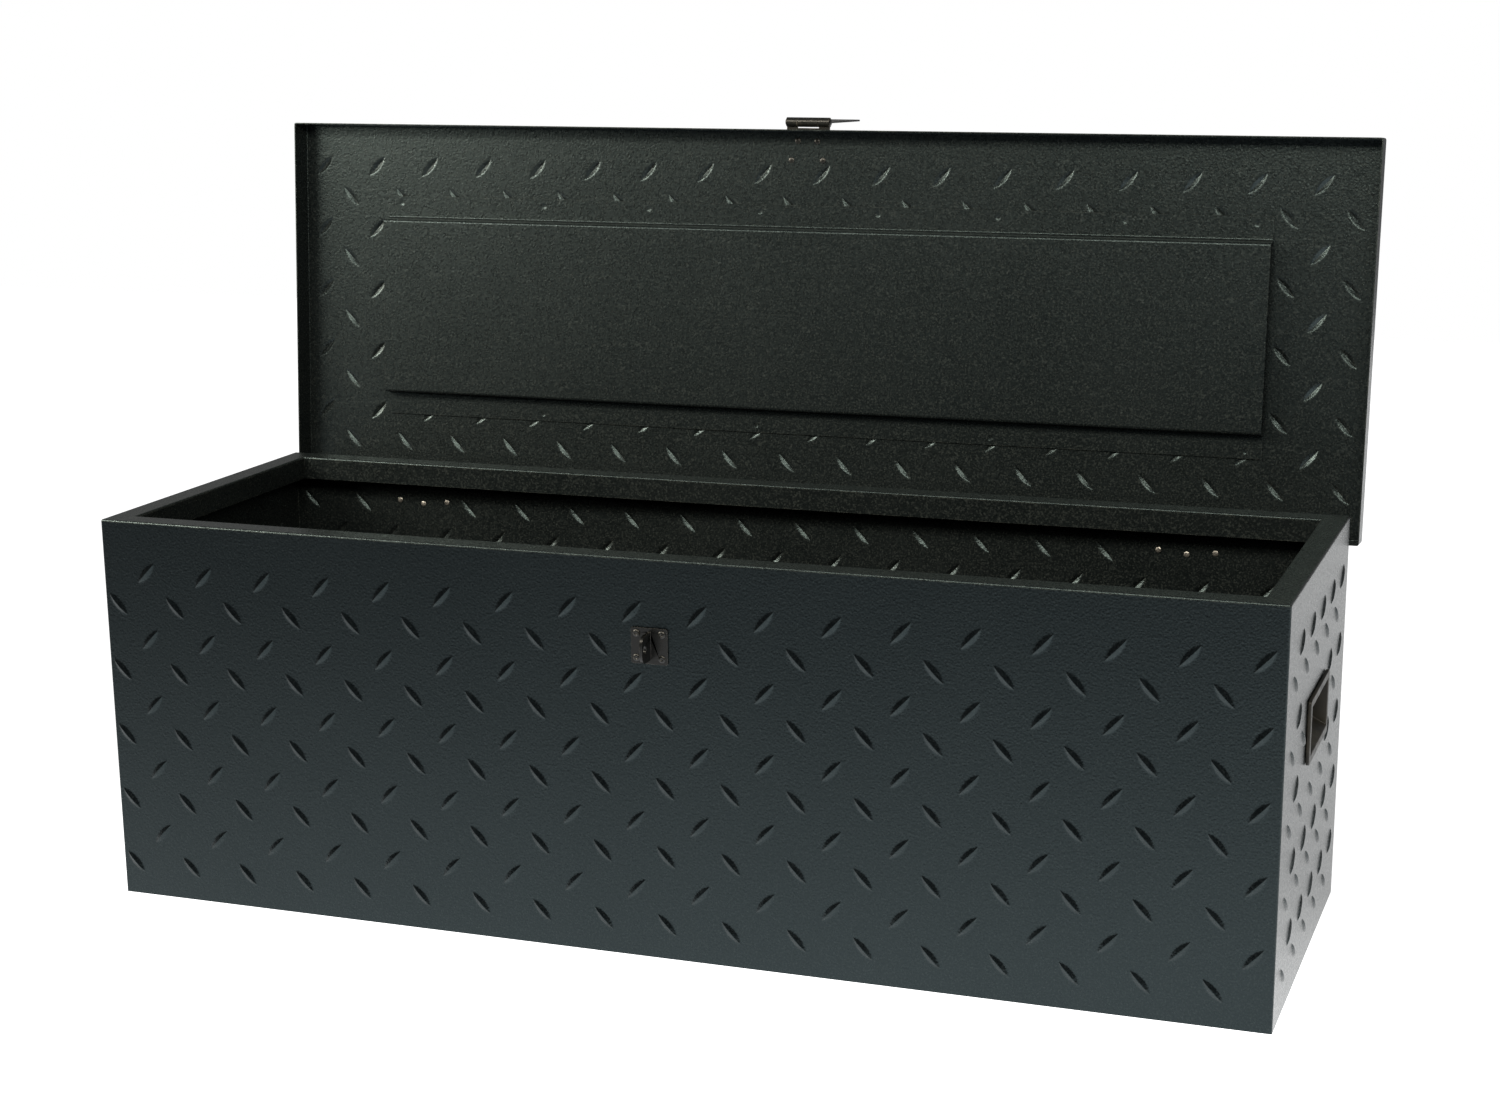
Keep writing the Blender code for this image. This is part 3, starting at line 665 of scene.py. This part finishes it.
def add_rivet(node, slot, body, head_way, turn):
    """A rivet with a domed, dimpled head and a rounded tail, where its CAD node is."""
    low, high = node_box(node, turn.inverted())
    way = Vector(head_way)
    centre = (low + high) / 2
    half = abs((high - low).dot(way)) / 2
    head = max((high - low)[i] for i in range(3) if not way[i]) / 2
    base = half - RIVET_HEAD_HEIGHT
    hollow, depth = DIMPLE
    tail = [(r, -half + RIVET_TAIL_HEIGHT - z) for r, z in quarter_round(RIVET_TAIL, RIVET_TAIL_HEIGHT)]
    section = tail[::-1] + [(RIVET_SHANK, tail[0][1]), (RIVET_SHANK, base)]
    section += [(r, base + z) for r, z in quarter_round(head, RIVET_HEAD_HEIGHT) if r > hollow * head]
    rim = section[-1][1]
    dimple = quarter_round(hollow * head, depth * RIVET_HEAD_HEIGHT, 4)
    section += [(r, rim - z) for r, z in dimple]
    bm = bmesh.new()
    rows = []
    for i in range(RIVET_STEPS):
        angle = 2 * math.pi * i / RIVET_STEPS
        rows.append([(r * math.cos(angle), r * math.sin(angle), z) for r, z in section])
    add_rows(bm, rows + rows[:1])
    bmesh.ops.remove_doubles(bm, verts=bm.verts, dist=FINE_WELD)
    bmesh.ops.recalc_face_normals(bm, faces=bm.faces)
    upright = way.to_track_quat("Z", "Y").to_matrix().to_4x4()
    add_piece(node + "_turned", bm, slot, body, [node], turn @ Matrix.Translation(centre) @ upright)


for node in list(frame["nodes"]):
    if "rivet" in node:
        on_lid = node.startswith(("lid_leaf", "hasp_rivet"))
        way = UP if node.startswith("hasp") else AHEAD if node.startswith("staple") else BACK
        slot = "rivet_steel" if "leaf" in node else "black_hardware"
        add_rivet(node, slot, "lid" if on_lid else "box", way, LID_TURN if on_lid else REST)
for node in (*HINGE_LEAVES, "hinge_pin_left", "hinge_pin_right", "staple"):
    add_bevelled(node, "black_hardware", "box", SMALL_ROUND)
for node in ("hinge_lid_leaf_left", "hinge_lid_leaf_right", "hasp_leaf", "hasp_pin"):
    add_bevelled(node, "black_hardware", "lid", SMALL_ROUND)
add_bevelled("hasp_strap", "black_hardware", "strap", STRAP_ROUND)
for node in ("left_handle", "right_handle"):
    add_bevelled(node, "black_plastic", "box", HANDLE_ROUND)


# --- Stage, light and camera ---

FLOOR_SIZE = 9
FLOOR_COLOUR = (0.80, 0.80, 0.80)
FLOOR_DROP = 0.5 * MM

# The floor's own light: near the chest, behind it and far in front. It fades over the span, in
# metres in front, and the slant shifts the fade with X.
GLOW_NEAR = 1.95
GLOW_BEHIND = 1.0
GLOW_FAR = 0.15
GLOW_SPAN = (0.15, 1.9)
GLOW_SLANT = 0.35

# The soft boxes: name, ends, height in metres, power in watts and the pieces that a flag shades
WARM = (1.0, 0.92, 0.76)
LID_MIDDLE = (0, 0.25, 0.6)
FLAGGED = ["front_wall", "studio_floor"]
ALL_FLAGGED = FLAGGED + ["staple_rounded"]
SOFT_BOXES = (
    ("key", ((-0.15, -1.66, 1.58), (1.8, -1.29, 1.55)), 0.35, 42, ALL_FLAGGED),
    ("side", ((-2.43, -0.25, 1.02), (-1.3, -1.15, 1.54)), 0.35, 62, ALL_FLAGGED),
    ("top", ((-1.7, -1.2, 1.7), (0.4, -1.2, 1.7)), 0.2, 32, FLAGGED),
    ("left", ((-2.3, -1.45, 1.25), (-1.35, -1.6, 1.1)), 0.3, 8, ALL_FLAGGED),
)

CAMERA_PLACE = (0.915, -2.459, 0.951)
CAMERA_FORWARD = Vector((-0.32704, 0.91042, -0.25333))
CAMERA_UP = Vector((-0.07842, 0.24100, 0.96735))
CAMERA_LENS_MM, CAMERA_SENSOR_MM = 62.53, 36
CAMERA_SHIFT = (-0.0014, 0.0626)


def add_floor():
    """A plain pale floor, lit from below like a photographer's table."""
    bm = bmesh.new()
    bmesh.ops.create_grid(bm, x_segments=1, y_segments=1, size=FLOOR_SIZE / 2)
    mesh = bpy.data.meshes.new("studio_floor")
    bm.to_mesh(mesh)
    bm.free()
    n = Nodes("studio_floor")
    apart = n.add("ShaderNodeSeparateXYZ")
    n.join(n.place, apart.inputs["Vector"])
    ahead = n.summed(apart.outputs["Y"], apart.outputs["X"], GLOW_SLANT)
    glow = n.add("ShaderNodeMath", operation="MULTIPLY")
    n.join(n.ranged(ahead, GLOW_FAR, 1, -GLOW_SPAN[1], -GLOW_SPAN[0]), glow.inputs[0])
    n.join(n.ranged(apart.outputs["Y"], GLOW_NEAR, GLOW_BEHIND, FRONT_Y, REAR_Y), glow.inputs[1])
    n.join(glow.outputs["Value"], n.shader.inputs["Emission Strength"])
    n.shader.inputs["Emission Color"].default_value = (1, 1, 1, 1)
    n.shader.inputs["Base Color"].default_value = (*FLOOR_COLOUR, 1)
    n.shader.inputs["Roughness"].default_value = 0.7
    mesh.materials.append(n.material)
    floor = bpy.data.objects.new("studio_floor", mesh)
    floor.location.z = -FLOOR_DROP
    bpy.context.scene.collection.objects.link(floor)


def add_world(seen, lit_front, lit_high, lit_back):
    """A studio room that looks plain white. As light, it is dim in front of the chest, and brighter
    overhead and behind it, with smooth changes between."""
    world = bpy.data.worlds.new("studio")
    world.use_nodes = True
    tree = world.node_tree
    background = tree.nodes["Background"]
    background.inputs["Color"].default_value = (1, 1, 1, 1)
    direction = tree.nodes.new("ShaderNodeTexCoord").outputs["Generated"]
    apart = tree.nodes.new("ShaderNodeSeparateXYZ")
    tree.links.new(direction, apart.inputs["Vector"])

    def smooth_range(value, low, high, from_low, from_high):
        node = tree.nodes.new("ShaderNodeMapRange")
        node.interpolation_type = "SMOOTHSTEP"
        node.inputs["From Min"].default_value = from_low
        node.inputs["From Max"].default_value = from_high
        node.inputs["To Min"].default_value = low
        node.inputs["To Max"].default_value = high
        tree.links.new(value, node.inputs["Value"])
        return node.outputs["Result"]

    change = tree.nodes.new("ShaderNodeMix")
    change.inputs["B"].default_value = lit_back
    tree.links.new(smooth_range(apart.outputs["Y"], 0, 1, -0.5, 0.5), change.inputs["Factor"])
    tree.links.new(smooth_range(apart.outputs["Z"], lit_front, lit_high, 0.25, 0.8), change.inputs["A"])
    choice = tree.nodes.new("ShaderNodeMix")
    choice.inputs["B"].default_value = seen
    tree.links.new(tree.nodes.new("ShaderNodeLightPath").outputs["Is Camera Ray"], choice.inputs["Factor"])
    tree.links.new(change.outputs["Result"], choice.inputs["A"])
    tree.links.new(choice.outputs["Result"], background.inputs["Strength"])
    bpy.context.scene.world = world


def add_soft_box(name, ends, height, power, kept_off):
    """A long soft box between two ends, turned to the lid. A flag shades the pieces in kept_off."""
    first, last = (Vector(end) for end in ends)
    light = bpy.data.lights.new(name, "AREA")
    light.shape = "RECTANGLE"
    light.size, light.size_y = (last - first).length, height
    light.energy = power
    light.color = WARM
    obj = bpy.data.objects.new(name, light)
    place = (first + last) / 2
    back = (place - Vector(LID_MIDDLE)).normalized()
    upright = back.cross(last - first).normalized()
    turn = Matrix((upright.cross(back), upright, back)).transposed().to_4x4()
    obj.matrix_world = Matrix.Translation(place) @ turn
    bpy.context.scene.collection.objects.link(obj)
    flagged = bpy.data.collections.new(name + "_flagged")
    for piece in kept_off:
        flagged.objects.link(bpy.data.objects[piece])
    for entry in flagged.collection_objects:
        entry.light_linking.link_state = "EXCLUDE"
    obj.light_linking.receiver_collection = flagged


def add_camera():
    data = bpy.data.cameras.new("camera")
    data.lens = CAMERA_LENS_MM
    data.sensor_width = CAMERA_SENSOR_MM
    data.shift_x, data.shift_y = CAMERA_SHIFT
    camera = bpy.data.objects.new("camera", data)
    right = CAMERA_FORWARD.cross(CAMERA_UP).normalized()
    up = right.cross(CAMERA_FORWARD).normalized()
    axes = Matrix((right, up, -CAMERA_FORWARD.normalized())).transposed()
    camera.matrix_world = Matrix.Translation(CAMERA_PLACE) @ axes.to_4x4()
    bpy.context.scene.collection.objects.link(camera)
    bpy.context.scene.camera = camera


add_floor()
add_world(seen=1.0, lit_front=0.05, lit_high=0.32, lit_back=0.2)
for soft_box in SOFT_BOXES:
    add_soft_box(*soft_box)
add_camera()
bpy.context.scene.view_settings.view_transform = "Standard"
